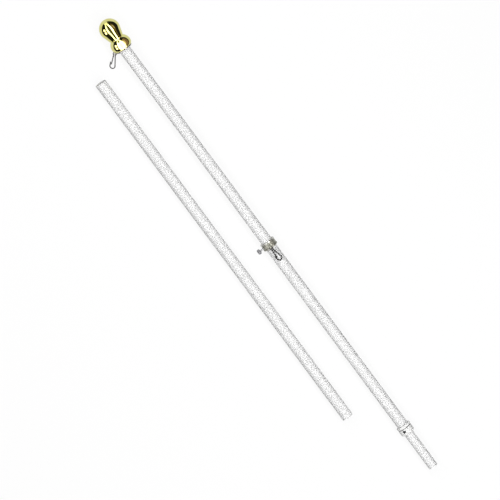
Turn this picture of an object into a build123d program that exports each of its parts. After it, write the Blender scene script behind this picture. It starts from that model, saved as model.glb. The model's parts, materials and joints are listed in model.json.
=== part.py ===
from build123d import *
import math
import os

# A white two-section spinning flagpole with a gold ball, laid flat: the upper section with its spindle,
# and the plain lower tube beside it. Millimetres. +X runs along the pole from the ball to the spindle,
# +Z is up from the floor, and the origin is at the bottom centre of the whole set.
# A station is a distance from the tip of the ball along the upper section.

# Tubes
tube_radius = 19.05 / 2
tube_wall = 1.473
lower_tube_length = 681.5
lower_tube_station = 81.0
section_spacing = 63.8

# Ornament: ball, base and the parts under it
ball_radius = 17.4
ball_wall = 2.0
ball_taper_angle = 17.0
ball_length = 35.9
ball_edge_round = 1.4
neck_radius = 11.2
neck_length = 1.0
ball_spigot_radius = 5.9
ball_spigot_length = 7.0
base_radius = 17.7
base_front_radius = 12.5
base_back_rim = 5.6
base_front_length = 11.8
base_back_length = 6.8
base_spigot_length = 22.0
washer_thickness = 1.5
washer_rim = 5.0
ferrule_length = 1.7
ferrule_front_rim = 4.4
ferrule_back_rim = 2.6

# Spinner joint at the lower end of the upper tube
upper_tube_end_station = 828.6
bushing_rim = 2.5
bushing_length = 4.3
bushing_end_wall = 2.0
spindle_running_gap = 0.10
spindle_socket_gap = 0.1145
spindle_journal_step = 0.34
spindle_wall = 1.5
spindle_inner_length = 100.0
spindle_free_length = 69.7
collar_gap = 0.8
collar_length = 10.4
collar_inset = 0.2
collar_bore_gap = 0.03
edge_round = 0.6
groove_round = 0.8
collar_end_round = 1.6
set_screw_radius = 2.5
set_screw_gap = 0.05
set_screw_sink = 0.4
set_screw_socket = 2.5
set_screw_socket_depth = 1.5
set_screw_offset = 4.0
set_screw_angle = 24.5

# Clamp ring with its ear and thumbscrew
ring_station = 455.5
ring_length = 12.0
ring_wall = 3.175
ring_waist_depth = 0.45
ring_front_rim_length = 3.0
ring_back_rim_length = 2.6
ring_slide_gap = 0.10
ring_ear_thickness = 2.4
ring_ear_radius = 2.9
ring_ear_rise = 2.2
ring_ear_shift = 2.5
ring_ear_angle = 3.0
thumbscrew_angle = 75.0
thumbscrew_shift = 0.5
shank_radius = 1.5
shank_gap = 0.1
shank_tip_gap = 0.15
shank_in_knob = 2.8
shank_in_knob_gap = 0.02
knob_radius = 4.35
knob_length = 4.2
knob_stand_off = 5.9
knob_flutes = 16
knob_flute_radius = 0.45
knob_chamfer = 0.6

# Snap hooks, both the same, drawn flat: along the hook, then across it
hook_wire_radius = 0.85
hook_eye_radius = 2.5
hook_length = 27.0
hook_bend_radius = 4.2
hook_nose_length = 6.0
hook_leg_angle = 31.0
gate_wire_radius = 0.8
gate_pivot_along = 5.0
gate_pivot_across = 1.45
gate_reach = 14.0
gate_tip_across = 2.3
gate_knuckle_radius = 1.1
gate_tongue_half = 0.3
gate_slot_gap = 0.05
gate_pin_radius = 0.4
gate_bore_gap = 0.05
gate_neck_width = 1.2
ear_hole_radius = 1.3
ear_edge = 1.6
ear_eye_shift = 0.09

# How the hooks lie: the upper one on the floor, the lower one on the tube
upper_hook_angle = 47.0
upper_eye_clearance = 1.3
lower_eye_shift = 0.25
lower_hook_turn = 3.0
rest_gap = 0.3

# Derived sizes
tube_bore_radius = tube_radius - tube_wall
base_back_radius = tube_radius + base_back_rim
washer_radius = tube_radius + washer_rim
ferrule_front_radius = tube_radius + ferrule_front_rim
ferrule_back_radius = tube_radius + ferrule_back_rim
bushing_radius = tube_radius + bushing_rim
collar_radius = bushing_radius - collar_inset
spindle_radius = tube_bore_radius - spindle_socket_gap
spindle_journal_radius = spindle_radius - spindle_journal_step
ring_radius = tube_radius + ring_wall
ring_band_radius = ring_radius - ring_waist_depth
knob_start = ring_radius + knob_stand_off
neck_station = ball_length
base_front_station = neck_station + neck_length
base_station = base_front_station + base_front_length
washer_station = base_station + base_back_length
ferrule_station = washer_station + washer_thickness
bushing_station = upper_tube_end_station + bushing_end_wall - bushing_length
bushing_end_station = bushing_station + bushing_length
collar_station = bushing_end_station + collar_gap
collar_end_station = collar_station + collar_length
spindle_end_station = collar_end_station + spindle_free_length
spindle_start_station = upper_tube_end_station - spindle_inner_length
hook_bend_along = hook_length - hook_wire_radius - hook_bend_radius

# The upper section rests on the rim of its base and on the lower edge of its bushing
rest_angle = math.degrees(
    math.atan2(base_radius - bushing_radius, bushing_end_station - base_station)
)
tip_height = base_station * math.sin(math.radians(rest_angle)) + base_radius * math.cos(
    math.radians(rest_angle)
)
middle_x = spindle_end_station * math.cos(math.radians(rest_angle)) / 2
middle_y = (base_radius - section_spacing - tube_radius) / 2
section_place = Pos(-middle_x, -middle_y, tip_height) * Rot(0, rest_angle, 0)

# Ears: the hook's wire runs in the hole, and the rest of its eye goes round the ear's edge
upper_eye_distance = base_radius + upper_eye_clearance
upper_hole_distance = upper_eye_distance - hook_eye_radius + ear_eye_shift
upper_ear_tip = upper_hole_distance + ear_hole_radius + ear_edge
upper_ear_station = washer_station + washer_thickness / 2
upper_ear_height = tip_height - upper_ear_station * math.sin(math.radians(rest_angle))
upper_hook_reach = (
    upper_eye_distance
    + hook_bend_along * math.sin(math.radians(upper_hook_angle))
    + hook_bend_radius
)
upper_ear_angle = 90 + math.degrees(
    math.asin((upper_ear_height - hook_wire_radius - rest_gap) / upper_hook_reach)
)
lower_hole_distance = ring_radius + ring_ear_rise
lower_eye_reach = hook_eye_radius - lower_eye_shift
lower_hook_drop = math.degrees(
    math.asin(
        (lower_hole_distance - tube_radius - hook_wire_radius - rest_gap)
        / (lower_eye_reach + hook_length - hook_wire_radius)
    )
)

# Directions round the pole are angles from straight up, towards the lower tube
upper_ear_turn = Rot(upper_ear_angle, 0, 0)
lower_ear_turn = Rot(ring_ear_angle, 0, 0)
thumbscrew_turn = Rot(thumbscrew_angle, 0, 0)
set_screw_turn = Rot(set_screw_angle, 0, 0)
screw_place = thumbscrew_turn * Pos(ring_station + thumbscrew_shift, 0, 0)

# A hook is drawn in its own XY plane with the eye's centre at the origin
upper_hook_place = (
    section_place
    * upper_ear_turn
    * Pos(upper_ear_station, 0, upper_eye_distance)
    * Rot(0, -upper_hook_angle, 0)
    * Rot(-90, 0, 0)
)
lower_hook_pivot = (
    section_place * lower_ear_turn * Pos(ring_station + ring_ear_shift, 0, lower_hole_distance)
)
lower_hook_place = (
    lower_hook_pivot
    * Rot(0, lower_hook_drop, 0)
    * Rot(0, 0, lower_hook_turn)
    * Pos(lower_eye_reach, 0, 0)
)
gate_place = Pos(gate_pivot_along, -gate_pivot_across, 0)


def turned(outline):
    """Turns a closed outline of (station, radius) edges round the pole's axis."""
    face = make_face(Plane.XZ * outline)
    return revolve(face, Axis.X, 360)


def rod(radius, start, end):
    """A round rod along the pole, from one station to another."""
    return Pos(start, 0, 0) * Rot(0, 90, 0) * extrude(Circle(radius), end - start)


def radial_rod(radius, start, end):
    """A round rod that points straight out of the pole at station 0."""
    return Pos(0, 0, start) * extrude(Circle(radius), end - start)


def round_ends(shape, size):
    """Rounds the two outer rims of a turned piece."""
    rims = shape.edges().filter_by(GeomType.CIRCLE).group_by(lambda rim: rim.radius)[-1]
    return fillet(rims, size)


def finial_ball():
    taper = math.radians(ball_taper_angle)
    touch = (
        ball_radius + ball_radius * math.sin(taper),
        ball_radius * math.cos(taper),
    )
    end = (ball_length, touch[1] - (ball_length - touch[0]) * math.tan(taper))
    cavity_end = ball_length - ball_wall
    cavity_radius = ball_radius - ball_wall
    cavity_touch = (
        ball_radius + cavity_radius * math.sin(taper),
        cavity_radius * math.cos(taper),
    )
    cavity_edge = cavity_touch[1] - (cavity_end - cavity_touch[0]) * math.tan(taper)
    middle = math.radians((90 + ball_taper_angle) / 2)
    body = turned(
        ThreePointArc(
            (0, 0),
            (
                ball_radius - ball_radius * math.cos(middle),
                ball_radius * math.sin(middle),
            ),
            touch,
        )
        + Polyline(touch, end, (ball_length, 0), (0, 0))
    )
    body = round_end_rim(body, ball_length, ball_edge_round)
    cavity = turned(
        ThreePointArc(
            (ball_wall, 0),
            (
                ball_radius - cavity_radius * math.cos(middle),
                cavity_radius * math.sin(middle),
            ),
            cavity_touch,
        )
        + Polyline(cavity_touch, (cavity_end, cavity_edge), (cavity_end, 0), (ball_wall, 0))
    )
    mouth = rod(ball_spigot_radius + collar_bore_gap, cavity_end - 1, ball_length + 1)
    return body - cavity - mouth


def round_end_rim(shape, station, size):
    """Rounds the outer rim at one end of a turned piece."""
    rims = [
        edge
        for edge in shape.edges().filter_by(GeomType.CIRCLE)
        if abs(edge.arc_center.X - station) < 0.01
    ]
    return fillet(max(rims, key=lambda edge: edge.radius), size)


def flare_arc(start, end, crown):
    """An arc from one point to another that runs level at the crown, which is one of the two."""
    other = end if crown == start else start
    across = abs(other[0] - crown[0])
    fall = crown[1] - other[1]
    radius = (across**2 + fall**2) / (2 * fall)
    centre_height = crown[1] - radius
    middle_along = (start[0] + end[0]) / 2
    middle = (
        middle_along,
        centre_height + math.sqrt(radius**2 - (middle_along - crown[0]) ** 2),
    )
    return ThreePointArc(start, middle, end)


def finial_base():
    front = (base_front_station, base_front_radius)
    crown = (base_station, base_radius)
    back = (washer_station, base_back_radius)
    dome = turned(
        Polyline((base_front_station, 0), front)
        + flare_arc(front, crown, crown)
        + flare_arc(crown, back, crown)
        + Polyline(back, (washer_station, 0), (base_front_station, 0))
    )
    neck = rod(neck_radius, neck_station, base_front_station)
    upper_spigot = rod(ball_spigot_radius, neck_station - ball_spigot_length, neck_station)
    lower_spigot = rod(
        tube_bore_radius - collar_bore_gap, washer_station, washer_station + base_spigot_length
    )
    return dome + neck + upper_spigot + lower_spigot


def hang_washer():
    disc = rod(washer_radius, washer_station, ferrule_station)
    lobe_radius = ear_hole_radius + ear_edge
    lobe = Pos(0, 0, upper_hole_distance) * rod(lobe_radius, washer_station, ferrule_station)
    web = Pos(upper_ear_station, 0, upper_hole_distance / 2) * Box(
        washer_thickness, 2 * lobe_radius, upper_hole_distance
    )
    hole = Pos(0, 0, upper_hole_distance) * rod(
        ear_hole_radius, washer_station - 1, ferrule_station + 1
    )
    bore = rod(tube_bore_radius, washer_station - 1, ferrule_station + 1)
    return upper_ear_turn * (disc + lobe + web - hole) - bore


def tube_ferrule():
    end = ferrule_station + ferrule_length
    crown = (ferrule_station, ferrule_front_radius)
    back = (end, ferrule_back_radius)
    inner = tube_radius + collar_bore_gap
    return turned(
        Polyline((ferrule_station, inner), crown)
        + flare_arc(crown, back, crown)
        + Polyline(back, (end, inner), (ferrule_station, inner))
    )


def tube(radius, bore, start, end):
    return rod(radius, start, end) - rod(bore, start - 1, end + 1)


def end_bushing():
    body = rod(bushing_radius, bushing_station, bushing_end_station)
    body = round_end_rim(body, bushing_station, edge_round)
    body = round_end_rim(body, bushing_end_station, groove_round)
    socket = rod(tube_radius + collar_bore_gap, bushing_station - 1, upper_tube_end_station)
    bore = rod(
        spindle_journal_radius + spindle_running_gap, bushing_station, bushing_end_station + 1
    )
    return body - socket - bore


def spindle_tube():
    inner = spindle_radius - spindle_wall
    bearing = rod(spindle_journal_radius, spindle_start_station, collar_end_station)
    free_end = rod(spindle_radius, collar_end_station, spindle_end_station)
    return bearing + free_end - rod(inner, spindle_start_station - 1, spindle_end_station + 1)


def set_screw_seat():
    return set_screw_turn * Pos(collar_station + set_screw_offset, 0, 0)


def stop_collar():
    body = rod(collar_radius, collar_station, collar_end_station)
    body = round_end_rim(body, collar_station, groove_round)
    body = round_end_rim(body, collar_end_station, collar_end_round)
    bore = rod(
        spindle_journal_radius + collar_bore_gap, collar_station - 1, collar_end_station + 1
    )
    hole = set_screw_seat() * radial_rod(set_screw_radius, 0, collar_radius + 1)
    return body - bore - hole


def set_screw():
    top = math.sqrt(collar_radius**2 - set_screw_radius**2) - set_screw_sink
    screw = radial_rod(
        set_screw_radius - set_screw_gap, spindle_journal_radius + collar_bore_gap, top
    )
    socket = Pos(0, 0, top - set_screw_socket_depth) * extrude(
        RegularPolygon(set_screw_socket / 2, 6, major_radius=False), set_screw_socket_depth + 1
    )
    grip = radial_rod(spindle_journal_radius + collar_bore_gap, 0, 1)
    return set_screw_seat() * (screw - socket) - grip


def clamp_ring():
    start = ring_station - ring_length / 2
    end = ring_station + ring_length / 2
    rims = rod(ring_radius, start, end)
    rims = round_ends(rims, edge_round)
    waist = rod(ring_radius + 1, start + ring_front_rim_length, end - ring_back_rim_length)
    waist -= rod(ring_band_radius, start, end)
    ear_station = ring_station + ring_ear_shift
    ear_disc = Pos(ear_station, 0, lower_hole_distance) * Rot(90, 0, 0) * Cylinder(
        ring_ear_radius, ring_ear_thickness
    )
    ear_web = Pos(ear_station, 0, lower_hole_distance / 2) * Box(
        2 * ring_ear_radius, ring_ear_thickness, lower_hole_distance
    )
    ear_hole = Pos(ear_station, 0, lower_hole_distance) * Rot(90, 0, 0) * Cylinder(
        ear_hole_radius, ring_ear_thickness + 2
    )
    ear = lower_ear_turn * (ear_disc + ear_web - ear_hole)
    bore = rod(tube_radius + ring_slide_gap, start - 1, end + 1)
    screw_hole = screw_place * radial_rod(shank_radius + shank_gap, 0, ring_radius + 1)
    return rims - waist + ear - bore - screw_hole


def thumbscrew_shank():
    shank = radial_rod(shank_radius, tube_radius + shank_tip_gap, knob_start + shank_in_knob)
    return screw_place * shank


def thumbscrew_knob():
    knob = chamfer(
        radial_rod(knob_radius, knob_start, knob_start + knob_length)
        .edges()
        .filter_by(GeomType.CIRCLE),
        knob_chamfer,
    )
    flute = radial_rod(knob_flute_radius, knob_start - 1, knob_start + knob_length + 1)
    for index in range(knob_flutes):
        knob -= Rot(0, 0, 360 / knob_flutes * index) * Pos(knob_radius, 0, 0) * flute
    knob -= radial_rod(
        shank_radius + shank_in_knob_gap, knob_start - 1, knob_start + shank_in_knob
    )
    return screw_place * knob


def wire_run(start, end, radius):
    """A straight run of round wire in the XY plane, with a ball at each end."""
    run = Vector(end[0] - start[0], end[1] - start[1], 0)
    plane = Plane(origin=(start[0], start[1], 0), z_dir=run)
    straight = extrude(plane * Circle(radius), run.length)
    first = Pos(start[0], start[1], 0) * Sphere(radius)
    last = Pos(end[0], end[1], 0) * Sphere(radius)
    return straight + first + last


def wire_bend(centre, bend_radius, start_angle, sweep_angle, radius):
    """A bend of round wire in the XY plane."""
    section = Plane.XZ * Pos(bend_radius, 0, 0) * Circle(radius)
    bend = revolve(section, Axis.Z, sweep_angle)
    return Pos(centre[0], centre[1], 0) * Rot(0, 0, start_angle) * bend


def snap_hook():
    leg_turn = math.radians(hook_leg_angle)
    leg_along = hook_eye_radius * math.cos(leg_turn)
    leg_across = hook_eye_radius * math.sin(leg_turn)
    reach = hook_bend_along - leg_along
    slope = math.atan2(-leg_across, reach) + math.asin(
        hook_bend_radius / math.hypot(reach, leg_across)
    )
    bend_start = slope + math.pi / 2
    leg_end = (
        hook_bend_along + hook_bend_radius * math.cos(bend_start),
        hook_bend_radius * math.sin(bend_start),
    )
    eye_sweep = 360 - 2 * hook_leg_angle
    eye = wire_bend((0, 0), hook_eye_radius, hook_leg_angle, eye_sweep, hook_wire_radius)
    leg = wire_run((leg_along, leg_across), leg_end, hook_wire_radius)
    bend_sweep = math.degrees(bend_start) + 90
    bend = wire_bend((hook_bend_along, 0), hook_bend_radius, -90, bend_sweep, hook_wire_radius)
    nose = wire_run(
        (hook_bend_along, -hook_bend_radius),
        (hook_bend_along - hook_nose_length, -hook_bend_radius),
        hook_wire_radius,
    )
    slot_half = gate_tongue_half + gate_slot_gap
    cheeks = gate_place * Cylinder(gate_knuckle_radius, 2 * hook_wire_radius)
    root = wire_run((leg_along, -leg_across), (gate_pivot_along, -gate_pivot_across), hook_wire_radius)
    slot_reach = gate_knuckle_radius + gate_slot_gap
    slot = gate_place * Pos(slot_reach, 0, 0) * Box(4 * slot_reach, 4 * slot_reach, 2 * slot_half)
    pin = gate_place * Cylinder(gate_pin_radius, 2 * hook_wire_radius)
    return eye + leg + bend + nose + (root + cheeks - slot) + pin


def snap_gate():
    tongue = gate_place * Cylinder(gate_knuckle_radius, 2 * gate_tongue_half)
    rise = gate_tip_across - gate_pivot_across
    length = math.hypot(gate_reach, rise)
    clear_along = gate_knuckle_radius + gate_wire_radius + gate_slot_gap
    pivot = (gate_pivot_along, -gate_pivot_across)
    start = (
        pivot[0] + gate_reach * clear_along / length,
        pivot[1] - rise * clear_along / length,
    )
    tip = (pivot[0] + gate_reach, -gate_tip_across)
    wire = wire_run(start, tip, gate_wire_radius)
    neck_turn = math.degrees(math.atan2(-rise, gate_reach))
    neck = (
        gate_place
        * Rot(0, 0, neck_turn)
        * Pos(clear_along / 2, 0, 0)
        * Box(clear_along, gate_neck_width, 2 * gate_tongue_half)
    )
    bore = gate_place * Cylinder(gate_pin_radius + gate_bore_gap, 2)
    return tongue + neck + wire - bore


def lower_tube():
    place = Pos(lower_tube_station - middle_x, -section_spacing - middle_y, tube_radius)
    return place * tube(tube_radius, tube_bore_radius, 0, lower_tube_length)


hook = snap_hook()
gate = snap_gate()
nodes = {
    "finial_ball": section_place * finial_ball(),
    "finial_base": section_place * finial_base(),
    "hang_washer": section_place * hang_washer(),
    "tube_ferrule": section_place * tube_ferrule(),
    "upper_tube": section_place
    * tube(tube_radius, tube_bore_radius, ferrule_station, upper_tube_end_station),
    "end_bushing": section_place * end_bushing(),
    "spindle_tube": section_place * spindle_tube(),
    "stop_collar": section_place * stop_collar(),
    "set_screw": section_place * set_screw(),
    "clamp_ring": section_place * clamp_ring(),
    "thumbscrew_shank": section_place * thumbscrew_shank(),
    "thumbscrew_knob": section_place * thumbscrew_knob(),
    "upper_hook": upper_hook_place * hook,
    "upper_hook_gate": upper_hook_place * gate,
    "lower_hook": lower_hook_place * hook,
    "lower_hook_gate": lower_hook_place * gate,
    "lower_tube": lower_tube(),
}

os.makedirs("parts", exist_ok=True)
for name, shape in nodes.items():
    export_step(shape, f"parts/{name}.step")
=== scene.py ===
import json
import math

import bmesh
import bpy
from mathutils import Euler, Matrix, Vector


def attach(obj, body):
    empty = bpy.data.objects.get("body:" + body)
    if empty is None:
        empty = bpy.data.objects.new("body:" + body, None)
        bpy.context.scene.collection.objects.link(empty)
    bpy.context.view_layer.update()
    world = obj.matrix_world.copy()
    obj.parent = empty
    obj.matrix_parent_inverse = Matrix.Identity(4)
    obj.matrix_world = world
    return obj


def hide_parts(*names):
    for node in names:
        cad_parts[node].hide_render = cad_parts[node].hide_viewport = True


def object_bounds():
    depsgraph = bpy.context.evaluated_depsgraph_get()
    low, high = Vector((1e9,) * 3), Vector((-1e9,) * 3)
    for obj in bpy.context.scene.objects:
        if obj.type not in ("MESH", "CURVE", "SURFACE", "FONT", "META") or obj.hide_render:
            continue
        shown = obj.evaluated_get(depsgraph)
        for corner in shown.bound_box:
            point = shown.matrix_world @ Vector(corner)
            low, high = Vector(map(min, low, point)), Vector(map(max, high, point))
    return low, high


# A white two-section spinning flagpole with a gold ball, laid flat on a white floor. Metres.

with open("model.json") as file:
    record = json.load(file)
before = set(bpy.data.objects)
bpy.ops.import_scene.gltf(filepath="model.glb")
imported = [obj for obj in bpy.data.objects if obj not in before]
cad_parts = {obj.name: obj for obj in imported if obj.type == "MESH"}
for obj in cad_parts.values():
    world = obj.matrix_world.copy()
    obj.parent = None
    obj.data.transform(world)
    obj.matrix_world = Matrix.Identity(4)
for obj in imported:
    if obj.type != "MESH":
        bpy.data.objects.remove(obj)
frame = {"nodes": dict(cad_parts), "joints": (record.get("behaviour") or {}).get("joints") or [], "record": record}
cad_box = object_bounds()
joints = {joint["name"]: joint for joint in frame["joints"]}
pole_y = joints["spindle_spin"]["pos_m"][1]
scene = bpy.context.scene

# Camera: looks down on the pole from 10 degrees towards the ball, with a very long lens
CAMERA_TILT = math.radians(10)
POLE_DIRECTION_IN_IMAGE = Vector((0.59506, -0.80368))
FRAME_WIDTH = 0.8079
FRAME_CENTRE = Vector((-0.01048, -0.00232, 0.0147))
LENS = 1400.0
SENSOR = 36.0
CLIP_END = 200

# Softboxes: long and level over the pole. Each: first and last angle from upright, seen from the floor
# under the pole and counted away from the lower tube, and radiance
SOFTBOX_HEIGHT = 1.0
SOFTBOX_LENGTH = 6.0
SOFTBOXES = ((10, 27, 4.5), (-38, -19, 2.75))

# Lights on the ornament's base alone. Each: name, lean towards the spindle, roll towards the lower tube,
# size, radiance, colour
BASE_LIGHT_DISTANCE = 1.0
BASE_LIGHTS = (
    ("base_softbox", 8.0, 0.0, (2.5, 1.75), 2.9, (1.0, 0.96, 1.0)),
    ("base_brown_light", 12.0, -66.0, (2.2, 0.75), 0.24, (1.0, 0.62, 0.45)),
)

# Room: what lights the pole from all round, and what mirrors see of it
ROOM_LIGHT = 0.06
ROOM_IN_MIRRORS = 0.015

# Floor: how much of its look glows, the tone of the rest, the tone that it bounces, what mirrors see of it
FLOOR_SIZE = 16
FLOOR_GLOW_SHARE = 0.90
FLOOR_SEEN = 0.95
FLOOR_BOUNCE = 0.25
FLOOR_IN_MIRRORS = 0.80

# Dark floor for mirrors: starts a margin outside the pole and leaves a bright wedge past the ball
BRIGHT_MARGIN = 0.095
BRIGHT_WEDGE = math.radians(14)
DARK_FLOOR_REACH = 8.0
DARK_FLOOR_LIFT = 0.001
DARK_FLOOR_GLOW = 0.02

# Colours of the studio
WHITE = (1.0, 1.0, 1.0)
PINK_WHITE = (1.0, 0.93, 0.90)
CREAM = (1.0, 0.97, 0.85)
OLIVE = (1.0, 0.9, 0.5)
BROWN = (0.9, 0.62, 0.3)
SALMON = (1.0, 0.8, 0.75)

# Materials: the stretch of a noise that a tone and a gloss are spread over, and the painted shade in crevices
TONE_STRETCH = (0.35, 0.65)
GLOSS_STRETCH = (0.3, 0.7)
GRAIN_DETAIL = 4.0
TONE_DETAIL = 3.0
PAINTED_SHADE_REACH = 0.0016
PAINTED_SHADE_STRETCH = (0.35, 0.95)
PAINTED_SHADE_SAMPLES = 8

# Polished rim of the ring, at its end towards the ball
RIM_LENGTH = 0.0027
RIM_FADE = 0.0004
RIM_COLOUR = (0.62, 0.62, 0.58, 1)
RIM_ROUGHNESS = (0.27, 0.27, 0.27, 1)

# Thumbscrew: thread and knurled knob
SHANK_RADIUS = 0.0015
THREAD_PITCH = 0.0008
THREAD_DEPTH = 0.00028
THREAD_LEAD = 2 * THREAD_PITCH
THREAD_STEPS = 8
SHANK_SEGMENTS = 32
KNOB_RADIUS = 0.00435
KNOB_CHAMFER = 0.0007
KNOB_STEPS = 36
KNURL_COUNT = 22
KNURL_SEGMENTS = 10
KNURL_DEPTH = 0.00035
KNURL_TWIST = math.radians(35)
KNURL_SLOPE = 2.2
KNURL_LAND = 1.2


def node_tree(name):
    """A new material with its node tree and its surface shader."""
    material = bpy.data.materials.new(name)
    material.use_nodes = True
    tree = material.node_tree
    return material, tree, tree.nodes["Principled BSDF"]


def noise(tree, scale, detail):
    """Noise in the piece's own space, with so many features a metre."""
    place = tree.nodes.new("ShaderNodeTexCoord")
    texture = tree.nodes.new("ShaderNodeTexNoise")
    texture.inputs["Scale"].default_value = scale
    texture.inputs["Detail"].default_value = detail
    tree.links.new(place.outputs["Object"], texture.inputs["Vector"])
    return texture.outputs["Fac"]


def ramp(tree, source, low, high):
    """Spreads a source between two colours."""
    node = tree.nodes.new("ShaderNodeValToRGB")
    for element, position, colour in zip(node.color_ramp.elements, TONE_STRETCH, (low, high)):
        element.position = position
        element.color = (*colour, 1)
    tree.links.new(source, node.inputs["Fac"])
    return node.outputs["Color"]


def spread(tree, source, stretch, low, high):
    """Spreads a stretch of a source between two numbers."""
    node = tree.nodes.new("ShaderNodeMapRange")
    node.inputs["From Min"].default_value = stretch[0]
    node.inputs["From Max"].default_value = stretch[1]
    node.inputs["To Min"].default_value = low
    node.inputs["To Max"].default_value = high
    tree.links.new(source, node.inputs["Value"])
    return node.outputs["Result"]


def bump(tree, shader, height, depth):
    """Raises the surface by a height of so many metres."""
    node = tree.nodes.new("ShaderNodeBump")
    node.inputs["Strength"].default_value = 1.0
    node.inputs["Distance"].default_value = depth
    tree.links.new(height, node.inputs["Height"])
    tree.links.new(node.outputs["Normal"], shader.inputs["Normal"])


def with_painted_crevice_shade(tree, colour, share):
    """Paints shade into a colour: darkens it in the crevices that are within reach of another surface."""
    crevice = tree.nodes.new("ShaderNodeAmbientOcclusion")
    crevice.inputs["Distance"].default_value = PAINTED_SHADE_REACH
    crevice.samples = PAINTED_SHADE_SAMPLES
    shade = tree.nodes.new("ShaderNodeVectorMath")
    shade.operation = "SCALE"
    tree.links.new(colour, shade.inputs[0])
    brightness = spread(tree, crevice.outputs["AO"], PAINTED_SHADE_STRETCH, 1.0 - share, 1.0)
    tree.links.new(brightness, shade.inputs["Scale"])
    return shade.outputs[0]


def finish_material(name, tones, tone_scale, roughness, grain_scale, grain_depth, metallic=0.0, painted_shade=0.0):
    """A material with two close tones, uneven gloss, a fine grain and, when asked, painted shade in its crevices.
    """
    material, tree, shader = node_tree(name)
    tone = noise(tree, tone_scale, TONE_DETAIL)
    grain = noise(tree, grain_scale, GRAIN_DETAIL)
    colour = ramp(tree, tone, *tones)
    # painted shade: the colour is darkened in crevices, where shade falls
    if painted_shade:
        colour = with_painted_crevice_shade(tree, colour, painted_shade)
    tree.links.new(colour, shader.inputs["Base Color"])
    tree.links.new(spread(tree, grain, GLOSS_STRETCH, *roughness), shader.inputs["Roughness"])
    shader.inputs["Metallic"].default_value = metallic
    bump(tree, shader, grain, grain_depth)
    return material


def powder_coat():
    return finish_material(
        "white_powder_coat",
        tones=((0.825, 0.825, 0.825), (0.87, 0.87, 0.87)),
        tone_scale=110.0,
        roughness=(0.33, 0.40),
        grain_scale=600.0,
        grain_depth=0.000003,
        # painted shade in the crevices of the powder coat
        painted_shade=0.5,
    )


def gold_plate():
    return finish_material(
        "gold_plate",
        tones=((0.78, 0.74, 0.25), (0.85, 0.82, 0.33)),
        tone_scale=80.0,
        roughness=(0.02, 0.045),
        grain_scale=300.0,
        grain_depth=0.000003,
        metallic=1.0,
    )


def polish_rim(material, start):
    """Makes a material bright and smooth up to the rim's length from a place along the pole."""
    tree = material.node_tree
    shader = tree.nodes["Principled BSDF"]
    place = tree.nodes.new("ShaderNodeTexCoord")
    parts = tree.nodes.new("ShaderNodeSeparateXYZ")
    tree.links.new(place.outputs["Object"], parts.inputs["Vector"])
    rim = spread(tree, parts.outputs["X"], (start + RIM_LENGTH, start + RIM_LENGTH - RIM_FADE), 0.0, 1.0)
    for socket, polished in (("Base Color", RIM_COLOUR), ("Roughness", RIM_ROUGHNESS)):
        dull = shader.inputs[socket].links[0].from_socket
        mix = tree.nodes.new("ShaderNodeMix")
        mix.data_type = "RGBA"
        mix.inputs["B"].default_value = polished
        tree.links.new(rim, mix.inputs["Factor"])
        tree.links.new(dull, mix.inputs["A"])
        tree.links.new(mix.outputs["Result"], shader.inputs[socket])


def cast_zinc():
    """Dull die-cast zinc with a polished rim at the end towards the ball."""
    material = finish_material(
        "cast_zinc",
        tones=((0.37, 0.37, 0.32), (0.49, 0.49, 0.42)),
        tone_scale=300.0,
        roughness=(0.40, 0.54),
        grain_scale=1500.0,
        grain_depth=0.00004,
        metallic=0.75,
        # painted shade in the crevices of the cast zinc
        painted_shade=0.7,
    )
    polish_rim(material, min(vertex.co.x for vertex in frame["nodes"]["clamp_ring"].data.vertices))
    return material


def hanger_steel():
    return finish_material(
        "hanger_steel",
        tones=((0.22, 0.21, 0.20), (0.32, 0.31, 0.30)),
        tone_scale=250.0,
        roughness=(0.12, 0.24),
        grain_scale=900.0,
        grain_depth=0.00001,
        metallic=1.0,
    )


def white_nylon():
    return finish_material(
        "white_nylon",
        tones=((0.85, 0.85, 0.84), (0.90, 0.90, 0.89)),
        tone_scale=150.0,
        roughness=(0.30, 0.42),
        grain_scale=700.0,
        grain_depth=0.00001,
        # painted shade in the crevices of the nylon
        painted_shade=0.7,
    )


def black_oxide():
    return finish_material(
        "black_oxide",
        tones=((0.012, 0.012, 0.013), (0.03, 0.03, 0.032)),
        tone_scale=400.0,
        roughness=(0.30, 0.45),
        grain_scale=1200.0,
        grain_depth=0.00002,
        metallic=0.6,
    )


def screw_steel():
    return finish_material(
        "screw_steel",
        tones=((0.42, 0.43, 0.45), (0.55, 0.56, 0.58)),
        tone_scale=400.0,
        roughness=(0.22, 0.36),
        grain_scale=1200.0,
        grain_depth=0.00001,
        metallic=1.0,
    )


def slate_plastic():
    return finish_material(
        "slate_plastic",
        tones=((0.235, 0.235, 0.25), (0.33, 0.33, 0.35)),
        tone_scale=300.0,
        roughness=(0.38, 0.52),
        grain_scale=1400.0,
        grain_depth=0.00004,
    )


def grey_wire():
    return finish_material(
        "grey_spring_wire",
        tones=((0.045, 0.042, 0.042), (0.09, 0.085, 0.085)),
        tone_scale=500.0,
        roughness=(0.30, 0.45),
        grain_scale=1500.0,
        grain_depth=0.00001,
        metallic=0.9,
    )


def black_wire():
    return finish_material(
        "black_spring_wire",
        tones=((0.02, 0.02, 0.02), (0.05, 0.05, 0.05)),
        tone_scale=500.0,
        roughness=(0.28, 0.42),
        grain_scale=1500.0,
        grain_depth=0.00001,
        metallic=0.7,
    )


MATERIALS = {
    "white_coat": powder_coat(),
    "gold_plating": gold_plate(),
    "cast_zinc": cast_zinc(),
    "hanger_steel": hanger_steel(),
    "white_plastic": white_nylon(),
    "black_steel": black_oxide(),
    "screw_steel": screw_steel(),
    "slate_plastic": slate_plastic(),
    "grey_wire": grey_wire(),
    "black_wire": black_wire(),
}


def dress_nodes():
    """Gives every CAD node the material of its slot."""
    for row in frame["record"]["subparts"]:
        piece = frame["nodes"][row["node"]]
        piece.data.materials.clear()
        piece.data.materials.append(MATERIALS[row["material_slot"]])


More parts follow.
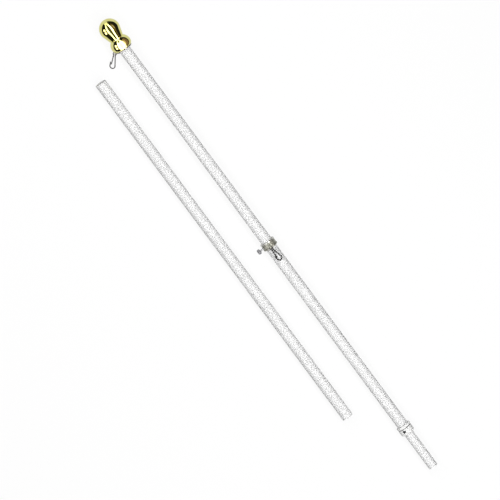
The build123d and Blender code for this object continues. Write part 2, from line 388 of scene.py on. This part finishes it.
def screw_frame():
    """The thumbscrew's axis: a matrix whose Z runs out along the screw from the knob's inner face."""
    joint = joints["thumbscrew_turn"]
    axis = Vector(joint["axis"]).normalized()
    turn = axis.to_track_quat("Z", "X").to_matrix().to_4x4()
    return Matrix.Translation(Vector(joint["pos_m"])) @ turn


def reach_along(node, place):
    """How far a node reaches along the Z of a matrix, lowest and highest."""
    inverse = place.inverted()
    heights = [(inverse @ vertex.co).z for vertex in frame["nodes"][node].data.vertices]
    return min(heights), max(heights)


def steps(start, end, count):
    """Places from start to end, so many steps apart."""
    return [start + (end - start) * index / count for index in range(count + 1)]


def turned_mesh(name, heights, radius_at, segments, place):
    """A closed round piece about Z, whose radius depends on the height and the angle."""
    mesh = bmesh.new()
    rings = []
    for height in heights:
        ring = []
        for index in range(segments):
            angle = 2 * math.pi * index / segments
            radius = radius_at(height, angle)
            ring.append(mesh.verts.new((radius * math.cos(angle), radius * math.sin(angle), height)))
        rings.append(ring)
    for lower, upper in zip(rings, rings[1:]):
        for index in range(segments):
            after = (index + 1) % segments
            mesh.faces.new((lower[index], lower[after], upper[after], upper[index]))
    mesh.faces.new(list(reversed(rings[0])))
    mesh.faces.new(rings[-1])
    for face in mesh.faces:
        face.smooth = len(face.verts) == 4
    mesh.transform(place)
    data = bpy.data.meshes.new(name)
    mesh.to_mesh(data)
    mesh.free()
    piece = bpy.data.objects.new(name, data)
    scene.collection.objects.link(piece)
    return piece


def body_of(node):
    """The name of the body that a CAD node rides on."""
    bodies = frame["record"]["behaviour"]["bodies"]
    return next(body for body, nodes in bodies.items() if node in nodes)


def stand_for(piece, node, slot):
    """Puts a detailed piece in a CAD node's place."""
    piece.data.materials.append(MATERIALS[slot])
    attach(piece, body_of(node))
    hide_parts(node)


def threaded_shank():
    """The shank with its thread, tapered over its first turns."""
    place = screw_frame()
    low, high = reach_along("thumbscrew_shank", place)

    def radius_at(height, angle):
        phase = (height / THREAD_PITCH - angle / (2 * math.pi)) % 1.0
        groove = THREAD_DEPTH * abs(2 * phase - 1)
        taper = max(0.0, 1 - (height - low) / THREAD_LEAD) * THREAD_DEPTH
        return SHANK_RADIUS - max(groove, taper)

    count = int((high - low) / THREAD_PITCH * THREAD_STEPS)
    piece = turned_mesh("threaded_shank", steps(low, high, count), radius_at, SHANK_SEGMENTS, place)
    stand_for(piece, "thumbscrew_shank", "screw_steel")


def knurled_knob():
    """The knob with its cross knurling and its chamfered ends."""
    place = screw_frame()
    low, high = reach_along("thumbscrew_knob", place)
    twist = KNURL_TWIST / (high - low)

    def radius_at(height, angle):
        edge = min(height - low, high - height)
        chamfer = max(0.0, KNOB_CHAMFER - edge)
        grooves = [
            abs(((angle + side * twist * (height - low)) * KNURL_COUNT / (2 * math.pi)) % 1.0 - 0.5) * 2
            for side in (-1, 1)
        ]
        cut = KNURL_DEPTH * max(max(0.0, groove * KNURL_SLOPE - KNURL_LAND) for groove in grooves)
        return KNOB_RADIUS - max(cut, chamfer)

    segments = KNURL_COUNT * KNURL_SEGMENTS
    piece = turned_mesh("knurled_knob", steps(low, high, KNOB_STEPS), radius_at, segments, place)
    stand_for(piece, "thumbscrew_knob", "slate_plastic")


def mixed(tree, factor, first, second):
    """A mix of two shaders by a number or by a socket."""
    mix = tree.nodes.new("ShaderNodeMixShader")
    if isinstance(factor, float):
        mix.inputs["Fac"].default_value = factor
    else:
        tree.links.new(factor, mix.inputs["Fac"])
    tree.links.new(first, mix.inputs[1])
    tree.links.new(second, mix.inputs[2])
    return mix.outputs[0]


def glow(tree, colour, strength):
    emission = tree.nodes.new("ShaderNodeEmission")
    emission.inputs["Color"].default_value = (*colour, 1)
    emission.inputs["Strength"].default_value = strength
    return emission.outputs[0]


def plain(tree, tone):
    diffuse = tree.nodes.new("ShaderNodeBsdfDiffuse")
    diffuse.inputs["Color"].default_value = (tone, tone, tone, 1)
    return diffuse.outputs[0]


def by_ray(tree, seen, mirrored, bounced):
    """Picks a shader for what the camera sees, for mirrors and for all other rays."""
    path = tree.nodes.new("ShaderNodeLightPath")
    hidden = mixed(tree, path.outputs["Is Glossy Ray"], bounced, mirrored)
    direct = tree.nodes.new("ShaderNodeMath")
    direct.operation = "MAXIMUM"
    tree.links.new(path.outputs["Is Camera Ray"], direct.inputs[0])
    tree.links.new(path.outputs["Is Transmission Ray"], direct.inputs[1])
    return mixed(tree, direct.outputs[0], hidden, seen)


def make_floor():
    bpy.ops.mesh.primitive_plane_add(size=FLOOR_SIZE, location=(0, 0, 0))
    floor = bpy.context.object
    floor.name = "floor"
    material, tree, _ = node_tree("floor_paper")
    seen = mixed(tree, FLOOR_GLOW_SHARE, plain(tree, FLOOR_SEEN), glow(tree, WHITE, 1.0))
    mirrored = glow(tree, WHITE, FLOOR_IN_MIRRORS)
    surface = by_ray(tree, seen, mirrored, plain(tree, FLOOR_BOUNCE))
    tree.links.new(surface, tree.nodes["Material Output"].inputs["Surface"])
    floor.data.materials.append(material)


def make_world():
    world = bpy.data.worlds.new("studio")
    world.use_nodes = True
    tree = world.node_tree
    seen = glow(tree, WHITE, 1.0)
    mirrored = glow(tree, WHITE, ROOM_IN_MIRRORS)
    bounced = glow(tree, WHITE, ROOM_LIGHT)
    surface = by_ray(tree, seen, mirrored, bounced)
    tree.links.new(surface, tree.nodes["World Output"].inputs["Surface"])
    scene.world = world


def area_lamp(name, place, size, radiance, colour=WHITE):
    """A rectangular lamp that is equally bright all over."""
    light = bpy.data.lights.new(name, "AREA")
    light.shape = "RECTANGLE"
    light.size, light.size_y = size
    light.energy = radiance * math.pi * size[0] * size[1]
    light.color = colour
    lamp = bpy.data.objects.new(name, light)
    lamp.matrix_world = place
    scene.collection.objects.link(lamp)
    return lamp


def make_softboxes():
    """Long softboxes over the pole, level, one to each side of the ball."""
    for index, (first_angle, last_angle, radiance) in enumerate(SOFTBOXES):
        near = SOFTBOX_HEIGHT * math.tan(math.radians(first_angle))
        far = SOFTBOX_HEIGHT * math.tan(math.radians(last_angle))
        place = Matrix.Translation((0, pole_y + (near + far) / 2, SOFTBOX_HEIGHT))
        area_lamp(f"softbox_{index}", place, (SOFTBOX_LENGTH, far - near), radiance)


def make_base_lights():
    """A wide softbox over the ornament's base and a brown one beside it, flagged off from the rest."""
    base = frame["nodes"]["finial_base"]
    crown = max((vertex.co for vertex in base.data.vertices), key=lambda corner: corner.z)
    below_crown = Vector((crown.x, pole_y, 0.0))
    lit = bpy.data.collections.new("lit_by_base_lights")
    lit.objects.link(base)
    for name, lean, roll, size, radiance, colour in BASE_LIGHTS:
        turn = Euler((math.radians(roll), math.radians(lean), 0)).to_matrix()
        middle = below_crown + turn @ Vector((0, 0, BASE_LIGHT_DISTANCE))
        lamp = area_lamp(name, Matrix.Translation(middle) @ turn.to_4x4(), size, radiance, colour)
        lamp.light_linking.receiver_collection = lit


def card(name, corners, strength, colour=WHITE):
    """A studio card that only mirrors see: dark, or glowing."""
    data = bpy.data.meshes.new(name)
    data.from_pydata(corners, [], [(0, 1, 2, 3)])
    piece = bpy.data.objects.new(name, data)
    scene.collection.objects.link(piece)
    material, tree, _ = node_tree(name)
    surface = glow(tree, colour, strength)
    tree.links.new(surface, tree.nodes["Material Output"].inputs["Surface"])
    data.materials.append(material)
    piece.visible_camera = False
    piece.visible_diffuse = False
    piece.visible_shadow = False
    piece.visible_transmission = False


def level_card(name, low, high, height, strength, colour=WHITE):
    """A level card between two corners."""
    corners = [(low[0], low[1]), (high[0], low[1]), (high[0], high[1]), (low[0], high[1])]
    card(name, [(*corner, height) for corner in corners], strength, colour)


def upright_card(name, start, end, foot, top, strength, colour):
    """An upright card from one place on the floor to another."""
    corners = [(*start, foot), (*end, foot), (*end, top), (*start, top)]
    card(name, corners, strength, colour)


def make_dark_floor():
    """Gives the plated pieces their dark outlines."""
    low, high = cad_box[0], cad_box[1]
    west, east = low[0] - BRIGHT_MARGIN, high[0] + BRIGHT_MARGIN
    south, north = low[1] - BRIGHT_MARGIN, high[1] + BRIGHT_MARGIN
    far = DARK_FLOOR_REACH
    slope = math.tan(BRIGHT_WEDGE)
    for side, name in ((-1, "dark_floor_west_south"), (1, "dark_floor_west_north")):
        corners = [
            (west, pole_y + side * BRIGHT_MARGIN * slope),
            (-far, pole_y + side * far * slope),
            (-far, side * 2 * far),
            (west, side * 2 * far),
        ]
        card(name, [(*corner, DARK_FLOOR_LIFT) for corner in corners], DARK_FLOOR_GLOW)
    for name, start, end in (
        ("dark_floor_east", (east, -far), (far, far)),
        ("dark_floor_south", (west, -far), (east, south)),
        ("dark_floor_north", (west, north), (east, far)),
    ):
        level_card(name, start, end, DARK_FLOOR_LIFT, DARK_FLOOR_GLOW)


def make_cards():
    """Cards that give the plated pieces their tints and their side lights."""
    level_card("olive_ceiling", (-3, -0.20), (3, 0.14), height=1.3, strength=0.12, colour=OLIVE)
    for name, start, end, foot, top, strength, colour in (
        ("east_low_card", (1.0, -0.75), (1.0, 0.80), 0.12, 0.66, 3.4, PINK_WHITE),
        ("east_mid_card", (1.0, -0.45), (1.0, 0.35), 0.66, 0.95, 3.2, PINK_WHITE),
        ("south_card_west", (-1.25, -1.2), (-0.70, -1.2), 0.38, 0.98, 3.5, PINK_WHITE),
        ("south_card_east", (-0.52, -1.2), (0.05, -1.2), 0.42, 0.98, 3.5, PINK_WHITE),
        ("west_card", (-1.45, pole_y - 0.26), (-1.45, pole_y + 0.26), 0.0, 0.5, 1.6, CREAM),
        ("north_brown_card", (-1.6, 1.05), (0.8, 1.05), 0.62, 1.7, 0.2, BROWN),
        ("north_card", (-0.95, 1.0), (-0.15, 1.0), 0.72, 0.98, 0.7, SALMON),
    ):
        upright_card(name, start, end, foot, top, strength, colour)


def make_camera():
    back = Vector((-math.sin(CAMERA_TILT), 0, math.cos(CAMERA_TILT)))
    along = Vector((math.cos(CAMERA_TILT), 0, math.sin(CAMERA_TILT)))
    across = Vector((0, 1, 0))
    right = POLE_DIRECTION_IN_IMAGE.x * along - POLE_DIRECTION_IN_IMAGE.y * across
    up = POLE_DIRECTION_IN_IMAGE.y * along + POLE_DIRECTION_IN_IMAGE.x * across
    distance = FRAME_WIDTH * LENS / SENSOR
    data = bpy.data.cameras.new("camera")
    data.lens = LENS
    data.sensor_width = SENSOR
    data.clip_end = CLIP_END
    camera = bpy.data.objects.new("camera", data)
    turn = Matrix((right, up, back)).transposed().to_4x4()
    camera.matrix_world = Matrix.Translation(FRAME_CENTRE + back * distance) @ turn
    scene.collection.objects.link(camera)
    scene.camera = camera


dress_nodes()
threaded_shank()
knurled_knob()
make_floor()
make_world()
make_softboxes()
make_base_lights()
make_dark_floor()
make_cards()
make_camera()
scene.view_settings.view_transform = "Standard"
